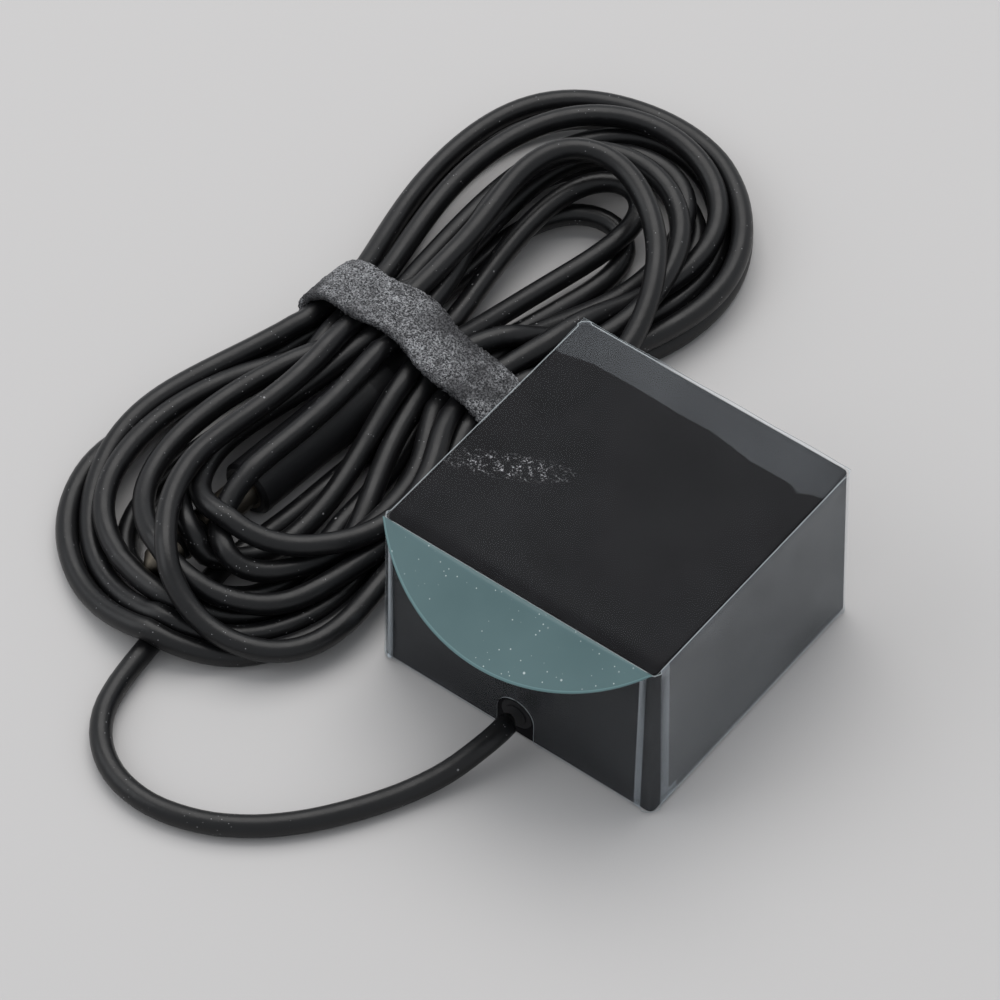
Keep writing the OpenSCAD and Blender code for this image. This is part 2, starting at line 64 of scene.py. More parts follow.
# A material with its Principled shader, and short calls for the nodes that feed it.
class Shader:
    def __init__(self, name, color, roughness, **sockets):
        self.mat = bpy.data.materials.new(name)
        self.mat.use_nodes = True
        self.tree = self.mat.node_tree
        self.bsdf = self.tree.nodes["Principled BSDF"]
        self.bsdf.inputs["Base Color"].default_value = rgba(color)
        self.bsdf.inputs["Roughness"].default_value = roughness
        for key, value in sockets.items():
            self.bsdf.inputs[key.replace("_", " ")].default_value = value
        self.coords = self.tree.nodes.new("ShaderNodeTexCoord").outputs["Object"]

    def add(self, kind, **inputs):
        node = self.tree.nodes.new("ShaderNode" + kind)
        for key, value in inputs.items():
            self.put(node, key, value)
        return node

    # links a socket or sets a value; the input goes by its name or its number
    def put(self, node, key, value):
        if isinstance(value, bpy.types.NodeSocket):
            self.tree.links.new(value, node.inputs[key])
        else:
            node.inputs[key].default_value = value

    def noise(self, scale, detail=3.0, rough=0.5, stretch=None):
        node = self.add("TexNoise", Scale=scale, Detail=detail, Roughness=rough)
        source = self.coords
        if stretch:
            source = self.add("Mapping", Vector=self.coords, Scale=stretch).outputs["Vector"]
        self.put(node, "Vector", source)
        return node.outputs["Fac"]

    def cells(self, scale):
        return self.add("TexVoronoi", Vector=self.coords, Scale=scale).outputs["Distance"]

    def axis(self, which):
        return self.add("SeparateXYZ", Vector=self.coords).outputs[which]

    # maps low..high to toLow..toHigh, and holds the ends beyond
    def band(self, value, low, high, toLow=0.0, toHigh=1.0):
        node = self.add("MapRange", Value=value)
        for key, end in (("From Min", low), ("From Max", high), ("To Min", toLow), ("To Max", toHigh)):
            self.put(node, key, end)
        return node.outputs["Result"]

    def math(self, kind, a, b):
        node = self.add("Math")
        node.operation = kind
        self.put(node, 0, a)
        self.put(node, 1, b)
        return node.outputs[0]

    def times(self, a, b):
        return self.math("MULTIPLY", a, b)

    def most(self, a, b):
        return self.math("MAXIMUM", a, b)

    # the Mix node keeps its colour inputs at numbers 6 and 7, and its colour output at 2
    def mix(self, share, a, b):
        node = self.add("Mix")
        node.data_type = "RGBA"
        self.put(node, 0, share)
        self.put(node, 6, rgba(a))
        self.put(node, 7, rgba(b))
        return node.outputs[2]

    # adds a layer of relief to those that are there
    def bump(self, height, distance, strength):
        node = self.add("Bump", Height=height, Distance=distance, Strength=strength)
        old = self.bsdf.inputs["Normal"].links
        if old:
            self.put(node, "Normal", old[0].from_socket)
        self.feed("Normal", node.outputs[0])

    def feed(self, socket, value):
        self.tree.links.new(value, self.bsdf.inputs[socket])


# Gives CAD nodes' objects a better material.
def repaint(nodes, mat):
    for node in nodes:
        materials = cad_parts[node].data.materials
        materials.clear()
        materials.append(mat)


# The camera. Its place is in metres; this and its three directions were fitted to the box's edges.
view = {
    "at": (0.200122, -0.279438, 0.429066),
    "right": (0.7936, 0.6084, -0.0003),
    "up": (-0.4658, 0.6079, 0.6430),
    "back": (0.3914, -0.5101, 0.7659),
    "lens": 201.3,
    "sensor": 36.0,
    "clipNear": 0.02,
    "clipFar": 20,
}


def cameraAtPhoto():
    camera = bpy.data.objects.new("camera", bpy.data.cameras.new("camera"))
    bpy.context.scene.collection.objects.link(camera)
    turn = Matrix([view["right"], view["up"], view["back"]]).transposed().to_4x4()
    camera.matrix_world = Matrix.Translation(view["at"]) @ turn
    camera.data.lens = view["lens"]
    camera.data.sensor_width = view["sensor"]
    camera.data.clip_start = view["clipNear"]
    camera.data.clip_end = view["clipFar"]
    bpy.context.scene.camera = camera
    bpy.context.scene.view_settings.view_transform = "Standard"
    print("stage: camera")


cameraAtPhoto()


# The lead. Lengths are in millimetres, as in the part's source. The free stretch is given in the part's
# own x, y and z, and places in the hank as along it, across it and up.

lead = {"r": 1.15, "step": 1.3, "sides": 14}
hank = {"x": -35.6, "y": 11.65, "cos": math.cos(math.radians(85)), "sin": math.sin(math.radians(85))}
plug = {
    "v": 0.9, "z": 3.1,                        # where its axis lies, across and up
    "tip": -36.0, "face": -22.0, "back": -2.0, "end": 6.0,
    "bodyR": 3.0, "pinR": 1.75,
    "overlap": 0.5,                            # how far the lead's end goes over the relief
}
tie = {"at": 2.0, "half": 3.2}                 # its middle along the hank, and half its width
freePoints = [
    (0, -16.2, 2.9), (0, -18.8, 2.9), (-0.4, -21.2, 2.6), (-1.6, -25, 1.7), (-3.6, -29.3, 1.2),
    (-6.4, -34.1, 1.2), (-9.3, -37.9, 1.2), (-12.7, -41.1, 1.2), (-16.9, -43.6, 1.2), (-22.2, -44.9, 1.2),
    (-27, -44.2, 1.2), (-30.5, -42, 1.2), (-32.7, -39, 1.2), (-33.7, -35.9, 1.2), (-34.1, -33.4, 1.2),
]
entryPoints = [(-37, -4.1, 1.2), (-31, -4, 1.2), (-25, -4.4, 1.3), (-17, -4.9, 1.8), (-9, -4.5, 2.4)]
# Each pass round the near end, from the tie's left part to its right part: its height, and its places,
# which may have a height of their own.
nearPasses = [
    (1.4, [(-8, 7.5), (-18, 9.5), (-28, 9.8), (-35.5, 6.6), (-39, 0.5), (-38, -6.6), (-32.5, -11.8),
           (-25, -13), (-16, -10.5), (-8, -7.5)]),
    (6.0, [(-8, 10), (-11, 11), (-19, 13), (-25, 14), (-29, 14), (-32, 12), (-34, 11), (-37, 9), (-38, 5),
           (-39.5, 0), (-39.5, -7), (-36, -12), (-32, -14.5), (-25, -14), (-16, -10), (-9, -6.2),
           (-2, -3.4, 7)]),
    (8.0, [(-4, 5), (-10, 7), (-17, 9), (-21, 9), (-26, 9), (-30, 8), (-33, 7), (-35, 4), (-37, 1),
           (-38, -2), (-39, -5), (-38.5, -10), (-37, -14), (-33, -17), (-28, -17), (-20, -15.5, 6),
           (-12, -14.5, 5), (-5, -12, 4)]),
    (4.0, [(-8, 13), (-14, 15), (-19, 16), (-25, 16), (-29, 15), (-33, 13), (-37, 10), (-39, 8), (-41, 4),
           (-42, 1), (-42, -2), (-41, -8), (-37, -14), (-30, -17.5), (-20, -15.5), (-10, -10.5)]),
    (1.2, [(-8, 11.5), (-18, 15), (-27, 16.5), (-34, 15), (-40, 9), (-43, 2, 2.4), (-43, -4, 3.7),
           (-41, -10, 2.8), (-36, -16), (-28, -18.5), (-18, -16.5), (-8, -12.5)]),
    (7.2, [(-1, 1), (-6, 0.2), (-12, -0.5), (-18, 0), (-24, 0.5), (-29, 0.6), (-33, -1), (-35, -4.5),
           (-34.6, -8), (-32, -11.2), (-28, -13.5), (-21, -15), (-14, -14.5, 6), (-8, -12.5, 5),
           (-3, -9.5, 4)]),
    (10.5, [(-4, 2), (-8, 2), (-12, 2.5), (-16, 3), (-20, 3.5), (-24, 4.5), (-28, 4), (-32, 3), (-34, 1),
            (-37, -1), (-39, -4), (-41, -7), (-42, -10), (-43, -13), (-42.5, -17), (-41.5, -20.5),
            (-39, -22.4), (-36, -23.2), (-33, -23.2), (-30, -22.6), (-27, -21), (-20, -17.8, 8),
            (-12, -16, 6), (-5, -13, 4)]),
    (10.0, [(-6, 0.5), (-12, 1.5), (-17, 2.8), (-21, 4.4), (-25, 4.6), (-28.8, 3.4), (-31.6, 1),
            (-33, -2.2), (-33, -5.6), (-32.2, -8.8), (-30, -11), (-28, -14), (-25, -16), (-22, -17),
            (-15, -16, 7), (-8, -13.5, 5), (-4, -11, 3.5)]),
    (5.0, [(-8, 5.5), (-18, 7), (-25, 7), (-30.4, 4), (-33, -1.5), (-31.6, -7), (-26.5, -9), (-18, -6.8),
           (-8, -3.8), (-2, -1.5, 6.4)]),
]
# Each pass round the far end, from the tie's right part to its left part.
farPasses = [
    (3.5, [(10, -5), (20, -7.5), (28, -8), (32, -3.5), (31.5, 1.5), (26, 5.5), (16, 5.5), (8, 4.5)]),
    (1.6, [(9, -8), (18, -12), (28, -13.5), (36, -10), (40, -4), (40.5, 2), (37, 8), (30, 10.5), (20, 10),
           (10, 8)]),
    (4.5, [(10, -9), (20, -13.5), (32, -14.5), (40, -10), (43, -5), (43, 1), (42, 5), (37, 8.5), (28, 10),
           (18, 9), (9, 7.5)]),
    (5.0, [(10, -12.5), (17, -16), (23, -18.5), (26, -19), (30, -19), (33, -17), (36, -16), (38, -14),
           (40, -12), (41, -10), (43, -7), (44, -5), (44, -3), (45, 0), (45, 2), (44, 4), (43.5, 6),
           (42.8, 8.5), (41.5, 12), (39.5, 14.5), (34, 17.2), (28, 17), (21, 16.5), (14, 14.6), (8, 12.4)]),
    (1.2, [(8, -11), (16, -15.5), (25, -18), (34, -16.5), (40, -12), (44.5, -5), (46, 1), (44.5, 8),
           (41, 14), (33.5, 17), (22, 16.5), (12, 13)]),
    (7.5, [(8, -11, 5), (18, -14.5), (28, -13.5), (35, -8), (37, 0), (34, 6.5), (28, 8.5), (18, 7),
           (9, 2.5)]),
    (5.0, [(9, -7), (20, -11.5), (29, -13), (33, -12), (36, -9), (38, -7), (40, -3), (40, 0), (38, 5),
           (32, 8), (22, 7), (12, 4)]),
    (11.0, [(7, -13, 5), (14, -18, 8), (18, -18), (21, -16), (24, -14), (26, -13), (28, -10), (30, -7),
            (32, -4), (33, -1), (33, 1), (33, 4), (32, 5), (31, 6), (29, 7), (26, 7), (22, 6), (18, 4),
            (14, 2.5), (10, 2), (6, 2)]),
    (7.5, [(10, -10), (22, -15), (32, -15.5), (38.5, -11), (41.5, -4), (41.5, 3), (38, 9.5), (30, 12.5),
           (20, 12.5), (10, 9.5)]),
    (6.0, [(6, -2.5), (10, -3), (15, -3.4), (20, -4.4), (25, -6), (29, -6.8), (32.6, -6.2), (35, -4),
           (35.8, -1), (34.6, 2), (31.4, 4), (27, 4.2), (22, 3.4), (16, 2.2), (11, 1.2)]),
]
# The strands' places inside the tie, as (across, up) in rows from the lowest, and the opening round them.
leftRows = [
    [(10.7, 2.25), (7.5, 2.25), (4.2, 2.25)],
    [(11.3, 4.5), (9.0, 4.3), (5.8, 4.3)],
    [(8.5, 6.6), (6.1, 6.7), (3.3, 7.0)],
]
rightRows = [
    [(-2.6, 2.25), (-5.0, 2.25), (-7.4, 2.25), (-9.8, 2.25)],
    [(-3.9, 4.6), (-6.3, 4.4), (-8.7, 4.4), (-11.0, 3.9)],
    [(0.9, 6.2), (-1.45, 6.0)],
]
tieOpening = [
    (11.4, 1.05), (12.6, 2.6), (12.7, 4.8), (9.6, 7.8), (8.2, 8.3), (2.5, 8.4), (-0.5, 8.1), (-3.0, 7.5),
    (-9.5, 5.9), (-11.6, 5.0), (-12.4, 3.6), (-12.4, 2.0), (-11.5, 1.05),
]
settle = {
    "rounds": 320, "inner": 4,                 # rounds, and steps of length and contact in each
    "last": 90, "leastEase": 0.3,              # over the last rounds gravity and pulls fade to this share
    "search": 5, "say": 80,                    # rounds between searches for near points, and between lines
    "gravity": 0.03,
    "pull": 0.05,                              # towards the drawn route, across the camera's view
    "pullReach": 16, "leastPull": 0.15,        # whole this far from the tie, and this share of it at the tie
    "slotPull": 0.06, "slotReach": 2.5,        # along the camera's view, near the tie
    "bend": 0.3, "stiff": 0.3,                 # how fast bends even out, and tight ones open
    "stretch": 0.3, "slack": 0.08,             # how fast a long piece shortens, and a short one grows
    "push": 1.3,                               # how fast two strands part
    "gap": 0.03, "plugGap": 0.06, "tieGap": 0.05, "floorGap": 0.02,
    "reach": 1.6,                              # how far past contact near points are looked for
    "skip": 2.6,                               # diameters along the lead in which it isn't tested on itself
    "plugEdge": 0.6, "tieEdge": 1.5,           # how far past its ends the plug, or the tie, still acts
    "wallX": -17.9, "wallY": 17.6,             # the box's side and half its depth, with the lead's radius
    "startPoints": 200, "endHeld": 3, "endOnPlug": 8, "endFree": 12,   # counts of points at the two ends
}
towardsCamera = np.array((-0.4739, -0.4343, 0.7660))   # in the hank's frame


def toHank(p):
    x, y = p[0] - hank["x"], p[1] - hank["y"]
    return (x * hank["cos"] + y * hank["sin"], y * hank["cos"] - x * hank["sin"], p[2])


def fromHank(points):
    p = np.asarray(points, float)
    return np.stack([hank["x"] + p[:, 0] * hank["cos"] - p[:, 1] * hank["sin"],
                     hank["y"] + p[:, 0] * hank["sin"] + p[:, 1] * hank["cos"], p[:, 2]], 1)


def lengths(parts):
    return np.linalg.norm(parts, axis=1)


# The distance along a line from its start to each of its points.
def alongLine(points):
    return np.concatenate([[0], np.cumsum(lengths(np.diff(points, axis=0)))])


# The line's points again, with about one step from each to the next.
def evenly(points, step):
    s = alongLine(points)
    at = np.linspace(0, s[-1], int(round(s[-1] / step)) + 1)
    return np.stack([np.interp(at, s, points[:, k]) for k in range(3)], 1)


# A centripetal curve through the points, sampled evenly.
def curveThrough(points, step, samples=12):
    p = np.array(points, float)
    p = np.vstack([2 * p[0] - p[1], p, 2 * p[-1] - p[-2]])
    out = []
    for i in range(1, len(p) - 2):
        q = p[i - 1:i + 3]
        t = np.concatenate([[0], np.cumsum(np.maximum(1e-6, lengths(np.diff(q, axis=0))) ** 0.5)])
        for x in np.linspace(t[1], t[2], samples + 1)[:-1]:
            a = [((t[k + 1] - x) * q[k] + (x - t[k]) * q[k + 1]) / (t[k + 1] - t[k]) for k in range(3)]
            b = [((t[k + 2] - x) * a[k] + (x - t[k]) * a[k + 1]) / (t[k + 2] - t[k]) for k in range(2)]
            out.append(((t[2] - x) * b[0] + (x - t[1]) * b[1]) / (t[2] - t[1]))
    out.append(p[-2])
    return evenly(np.array(out), step)


# Gives each crossing of the tie a place. The lowest passes get the lowest row, and a row keeps the
# passes' order across.
def placesInTie(before, after, rows):
    wish = [((a[1] + b[1]) / 2, (a[2] + b[2]) / 2) for a, b in zip(before, after)]
    order = sorted(range(len(wish)), key=lambda k: (wish[k][1], k))
    places = {}
    for row in rows:
        group = sorted(order[len(places):len(places) + len(row)], key=lambda k: -wish[k][0])
        for k, slot in zip(group, row):
            places[k] = (tie["at"], *slot)
    return [places[k] for k in range(len(wish))]


# Gives each place of a pass its height.
def passPoints(height, places):
    return [(p[0], p[1], p[2] if len(p) > 2 else height) for p in places]


# The drawn route from the box to the plug, in the hank's frame.
def knots():
    near = [passPoints(*p) for p in nearPasses]
    far = [passPoints(*p) for p in farPasses]
    right = placesInTie([entryPoints[-1]] + [p[-1] for p in near], [p[0] for p in far], rightRows)
    left = placesInTie([p[-1] for p in far[:-1]], [p[0] for p in near], leftRows)
    out = [toHank(p) for p in freePoints] + list(entryPoints)
    for k, way in enumerate(far):
        out += [right[k]] + way
        if k < len(near):
            out += [left[k]] + near[k]
    return out + [(plug["end"] + 2 * lead["r"], plug["v"], plug["z"]), (plug["end"], plug["v"], plug["z"])]


# The pairs of points nearer than reach, apart from neighbours along the lead, in blocks to save memory.
def closePairs(p, reach, skip, block=400):
    q = p.astype(np.float32)
    size = (q * q).sum(1)
    first, second = [], []
    for a in range(0, len(q), block):
        d = size[a:a + block, None] + size[None, :] - 2 * q[a:a + block] @ q.T
        i, j = np.nonzero(d < reach * reach)
        keep = j - i - a > skip
        first.append(i[keep] + a)
        second.append(j[keep])
    return np.concatenate(first), np.concatenate(second)


# Moves the strands' centres inside the tie's opening, as far as share says for each point.
def insideTie(p, share):
    corners = np.array(tieOpening)
    for a, b in zip(corners, np.roll(corners, -1, 0)):
        out = np.array((b[1] - a[1], a[0] - b[0])) / np.hypot(*(b - a))
        over = np.maximum((p[:, 1:] - a) @ out + lead["r"] + settle["tieGap"], 0)
        p[:, 1:] -= (share * over)[:, None] * out


# Moves the strands off the plug's pin, body and relief; the lead's own end is on the relief.
def offPlug(p):
    shapes = (
        (plug["tip"], plug["face"], plug["pinR"]),
        (plug["face"], plug["back"], plug["bodyR"]),
        (plug["back"], plug["end"] - plug["overlap"], plug["pinR"]),
    )
    for start, end, r in shapes:
        y, z = p[:, 1] - plug["v"], p[:, 2] - plug["z"]
        d = np.maximum(np.hypot(y, z), 1e-6)
        need = r + lead["r"] + settle["plugGap"]
        m = (p[:, 0] > start - settle["plugEdge"]) & (p[:, 0] < end + settle["plugEdge"]) & (d < need)
        m[-settle["endOnPlug"]:] = False
        p[m, 1] += ((need - d) * y / d)[m]
        p[m, 2] += ((need - d) * z / d)[m]


# Moves what is in the box out of it by the shorter way.
def offBox(p):
    w = fromHank(p)
    inside = (w[:, 0] > settle["wallX"]) & (np.abs(w[:, 1]) < settle["wallY"])
    x = np.where(inside, settle["wallX"] - w[:, 0], 0)
    y = np.where(x != 0, np.sign(w[:, 1]) * settle["wallY"] - w[:, 1], 0)
    sideways = np.abs(x) <= np.abs(y)
    x, y = np.where(sideways, x, 0), np.where(sideways, 0, y)
    p[:, 0] += x * hank["cos"] + y * hank["sin"]
    p[:, 1] += y * hank["cos"] - x * hank["sin"]


# How far each point lies from the middle between the points that are reach places from it.
def towardsMiddle(p, reach):
    out = np.zeros_like(p)
    out[reach:-reach] = 0.5 * (p[:-2 * reach] + p[2 * reach:]) - p[reach:-reach]
    return out


# Evens out the bends, and opens the tight ones as a stiff lead would.
def straighten(p, loose):
    bent = towardsMiddle(p, 1)
    bent[2:-2] += 0.5 * towardsMiddle(p, 2)[2:-2]
    p += settle["bend"] * bent * loose
    lap = towardsMiddle(p, 2)
    stiff = np.zeros_like(p)
    stiff[4:-4] = towardsMiddle(lap, 2)[4:-4]
    p -= settle["stiff"] * stiff * loose


# Draws neighbours towards their own distance, step.
def keepLength(p, step, loose):
    part = p[1:] - p[:-1]
    size = lengths(part)
    fix = (np.where(size > step, settle["stretch"], settle["slack"]) * (size - step) / size)[:, None] * part
    move = np.zeros_like(p)
    move[:-1] += fix
    move[1:] -= fix
    p += move * loose


# Parts the pairs nearer than d; gives how many there are and how deep the worst is.
def partStrands(p, first, second, d, loose):
    n = len(p)
    apart = p[first] - p[second]
    dist = np.sqrt((apart * apart).sum(1))
    hit = dist < d
    a, b, dist = first[hit], second[hit], np.maximum(dist[hit], 1e-6)
    push = (0.5 * (d - dist) / dist)[:, None] * apart[hit]
    move = np.stack([np.bincount(a, push[:, c], n) - np.bincount(b, push[:, c], n) for c in range(3)], 1)
    count = np.bincount(a, minlength=n) + np.bincount(b, minlength=n)
    p += settle["push"] * move / np.maximum(1, count)[:, None] * loose
    return int(hit.sum()), round(float(d - dist.min()), 2) if hit.any() else 0


# Lets the lead settle: it can't pass through itself, the tie, the plug, the box or the floor.
def settled(p):
    d = 2 * lead["r"] + settle["gap"]
    home = p.copy()
    step = lengths(np.diff(p, axis=0)).mean()
    held = int(np.argmin(lengths(p[:settle["startPoints"]] - np.array(toHank(freePoints[-1])))))
    loose = np.ones((len(p), 1))
    loose[:held] = 0
    loose[-settle["endHeld"]:] = 0
    skip = int(math.ceil(settle["skip"] * d / step))
    fromTie = np.abs(home[:, :1] - tie["at"])
    pull = settle["pull"] * np.clip(fromTie / settle["pullReach"], settle["leastPull"], 1)
    nearTie = np.clip(settle["slotReach"] - fromTie, 0, 1) * loose
    nearTie[-settle["endFree"]:] = 0
    for k in range(settle["rounds"]):
        ease = min(1, settle["leastEase"] + (settle["rounds"] - k) / settle["last"])
        if k % settle["search"] == 0:
            first, second = closePairs(p, d + settle["reach"], skip)
        p[:, 2:] -= ease * settle["gravity"] * loose
        want = home - p
        along = (want @ towardsCamera)[:, None] * towardsCamera
        p += ease * (pull * loose * (want - along) + settle["slotPull"] * nearTie * along)
        straighten(p, loose)
        for _ in range(settle["inner"]):
            keepLength(p, step, loose)
            touching, deepest = partStrands(p, first, second, d, loose)
            inTie = (tie["half"] + settle["tieEdge"] - np.abs(p[:, 0] - tie["at"])) / settle["tieEdge"]
            insideTie(p, np.clip(inTie, 0, 1) * loose[:, 0])
            offPlug(p)
            offBox(p)
            p[:, 2] = np.maximum(p[:, 2], lead["r"] + settle["floorGap"])
        if (k + 1) % settle["say"] == 0:
            print("settling", k + 1, "touching", touching, "deepest", deepest)
    return p


# Materials. In their tables a noise is its scale, detail and roughness (and stretch), a band is the range
# that it reads and the range that it gives, and a bump is its depth in metres and its strength.

dust = {"sharp": 0.55, "patchScale": 0.16, "patchDetail": 2.0, "patchEdge": 0.04}
noiseSpan = (0.3, 0.7)                         # the values that most of a noise has


# White specks: small cells, kept only where a broad noise is high.
def dustOn(sh, scale, amount, size):
    specks = sh.band(sh.cells(scale), size, size * dust["sharp"])
    patches = sh.noise(scale * dust["patchScale"], dust["patchDetail"])
    return sh.times(specks, sh.band(patches, 1 - amount, 1 + dust["patchEdge"] - amount))


leadLook = {
    "color": (0.008, 0.008, 0.009), "roughness": 0.4, "specular": 0.38,
    "fineDust": (900, 0.34, 0.13), "finestDust": (2100, 0.46, 0.13),   # scale, amount, size of the specks
    "dustColor": (0.3, 0.3, 0.31), "dustRough": (0, 1, 0, 0.9),
    "haze": (220, 4.0), "hazeBand": (0.4, 0.75, 0.0, 0.35),
    "dark": (0.004, 0.004, 0.0045), "pale": (0.009, 0.009, 0.0105),
    "smears": (500, 5.0, 0.6), "smearBand": (*noiseSpan, 0.29, 0.43),
    "grain": (2600, 3.0), "grainBump": (0.00004, 0.35),
    "dents": (160, 2.0), "dentBump": (0.00012, 0.4),
}


def leadMaterial():
    look = leadLook
    sh = Shader("leadJacket", look["color"], look["roughness"], Specular_IOR_Level=look["specular"])
    specks = sh.most(dustOn(sh, *look["fineDust"]), dustOn(sh, *look["finestDust"]))
    haze = sh.band(sh.noise(*look["haze"]), *look["hazeBand"])
    sh.feed("Base Color", sh.mix(specks, sh.mix(haze, look["dark"], look["pale"]), look["dustColor"]))
    smears = sh.band(sh.noise(*look["smears"]), *look["smearBand"])
    sh.feed("Roughness", sh.most(smears, sh.band(specks, *look["dustRough"])))
    sh.bump(sh.noise(*look["grain"]), *look["grainBump"])
    sh.bump(sh.noise(*look["dents"]), *look["dentBump"])
    return sh.mat


# How every moulded surface varies; tone and smears have the grain's scale times these first numbers.
mouldedLook = {
    "tone": (0.05, 3.0), "dark": 0.85, "pale": 1.2, "smears": (0.12, 4.0), "spread": 0.06,
    "grainDetail": (4.0, 0.6), "grainStrength": 0.6, "specular": 0.5,
}
# What each paint is on, its colour, its roughness, and its grain's scale and depth.
paints = {
    "plugMoulding": {
        "on": ("plug_body", "plug_relief"), "color": (0.007, 0.007, 0.008), "rough": 0.42,
        "grain": 3600, "depth": 0.00002, "specular": 0.32},
    "plugPin": {
        "on": ("plug_sleeve", "plug_ring", "plug_tip", "plug_core"), "color": (0.12, 0.105, 0.085),
        "rough": 0.42, "grain": 2400, "depth": 0.00001, "metallic": 1.0},
    "plugRings": {
        "on": ("plug_insulators", "plug_premould", "plug_wires"), "color": (0.01, 0.01, 0.011),
        "rough": 0.45, "grain": 3000, "depth": 0.00001},
    "leadRubber": {
        "on": ("cable_bush", "inner_cable", "core_wires"), "color": (0.009, 0.009, 0.01), "rough": 0.6,
        "grain": 3000, "depth": 0.00002, "specular": 0.3},
    "boardPaint": {
        "on": ("circuit_board", "top_emitter", "side_emitters", "resistors"), "color": (0.02, 0.05, 0.03),
        "rough": 0.45, "grain": 2400, "depth": 0.00001},
    "innerSteel": {
        "on": ("solder_joints", "base_screws"), "color": (0.5, 0.5, 0.5), "rough": 0.35,
        "grain": 2400, "depth": 0.00001, "metallic": 1.0},
    "baseMoulding": {
        "on": ("base_plate",), "color": (0.02, 0.02, 0.021), "rough": 0.6, "grain": 2600, "depth": 0.00004},
    "padRubber": {
        "on": ("foot_pad",), "color": (0.015, 0.015, 0.015), "rough": 0.8, "grain": 1800, "depth": 0.00008},
}


def moulded(name, paint):
    look = {**mouldedLook, **paint}
    color, rough, grain = look["color"], look["rough"], look["grain"]
    sh = Shader(name, color, rough, Specular_IOR_Level=look["specular"], Metallic=look.get("metallic", 0.0))
    share, detail = look["tone"]
    tone = sh.band(sh.noise(grain * share, detail), *noiseSpan)
    dark, pale = (tuple(c * look[key] for c in color) for key in ("dark", "pale"))
    sh.feed("Base Color", sh.mix(tone, dark, pale))
    share, detail = look["smears"]
    smears = sh.noise(grain * share, detail)
    sh.feed("Roughness", sh.band(smears, *noiseSpan, rough - look["spread"], rough + look["spread"]))
    sh.bump(sh.noise(grain, *look["grainDetail"]), look["depth"], look["grainStrength"])
    return sh


for name, paint in paints.items():
    repaint(paint["on"], moulded(name, paint).mat)
print("stage: paints")


# The lead's tube

# A round tube along a route, with no twist between its rings and closed ends.
def tubeMesh(name, route, r, sides, mat):
    t = np.gradient(route, axis=0)
    t /= lengths(t)[:, None]
    side = np.cross(t[0], (0, 0, 1.0))
    side /= np.linalg.norm(side)
    verts, faces = [], []
    for center, ahead in zip(route, t):
        side = side - ahead * (side @ ahead)
        side /= np.linalg.norm(side)
        up = np.cross(ahead, side)
        for k in range(sides):
            a = 2 * math.pi * k / sides
            verts.append(center + r * (math.cos(a) * side + math.sin(a) * up))
    last = (len(route) - 1) * sides
    for a in range(0, last, sides):
        b = a + sides
        faces += [(a + k, a + (k + 1) % sides, b + (k + 1) % sides, b + k) for k in range(sides)]
    faces.append(tuple(reversed(range(sides))))
    faces.append(tuple(range(last, last + sides)))
    return meshPiece(name, verts, faces, mat)


route = fromHank(settled(curveThrough(knots(), lead["step"])))
cable = tubeMesh("cable", route, lead["r"], lead["sides"], leadMaterial())
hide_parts("cable_lead", "cable_hank")


# The tie: a strip of hook-and-loop tape wrapped round the waist

tieLook = {
    "color": (0.05, 0.05, 0.053), "roughness": 0.9, "specular": 0.2,
    "weave": (5200, 4.0, 0.7), "weaveBand": (0.35, 0.65), "weaveBump": (0.0002, 0.9),
    "fluff": (1300, 6.0, 0.75), "fluffBump": (0.0003, 0.6),
    "dark": (0.025, 0.025, 0.028), "pale": (0.11, 0.11, 0.115), "dustColor": (0.58, 0.59, 0.61),
    "streaks": (2400, 4.0, 0.7, (1.0, 0.25, 1.0)),
    "patches": (150, 4.0, 0.6), "patchBand": (0.43, 0.57, 0.12, 1.0),
    "specksInWeave": (0.43, 0.6), "specksInFluff": (0.38, 0.58, 0.2, 1.0),
    "hairsInStreaks": (0.55, 0.7), "hairsInFluff": (0.46, 0.6),
}
tape = {
    "around": 240, "across": 14,               # counts of points
    "thick": 0.85, "narrower": 0.2,            # than the place that the strands leave for it
    "evened": 5, "off": 0.08,                  # neighbours each way that even out the loop, and its gap
    "bow": 0.25, "swell": 0.35,                # how its middle stands out, and how all of it does
    "swells": 3, "swellFrom": 1.0, "swellShare": 0.4,   # that comes and goes so often round the loop
    "seed": 5, "waves": 6, "wave": 0.09,       # how its two long edges wander
    "fluff": 0.06, "fray": 0.05,               # roughness of the outer face, and along the hank
    "least": 0.02,                             # its least height over the floor
}


def tieMaterial():
    look = tieLook
    sh = Shader("tieTape", look["color"], look["roughness"], Specular_IOR_Level=look["specular"])
    weave, fluff, streaks = (sh.noise(*look[key]) for key in ("weave", "fluff", "streaks"))
    patches = sh.band(sh.noise(*look["patches"]), *look["patchBand"])
    specks = sh.times(sh.band(weave, *look["specksInWeave"]), sh.band(fluff, *look["specksInFluff"]))
    hairs = sh.times(sh.band(streaks, *look["hairsInStreaks"]), sh.band(fluff, *look["hairsInFluff"]))
    base = sh.mix(sh.band(weave, *look["weaveBand"]), look["dark"], look["pale"])
    sh.feed("Base Color", sh.mix(sh.times(sh.most(specks, hairs), patches), base, look["dustColor"]))
    sh.bump(weave, *look["weaveBump"])
    sh.bump(fluff, *look["fluffBump"])
    return sh.mat


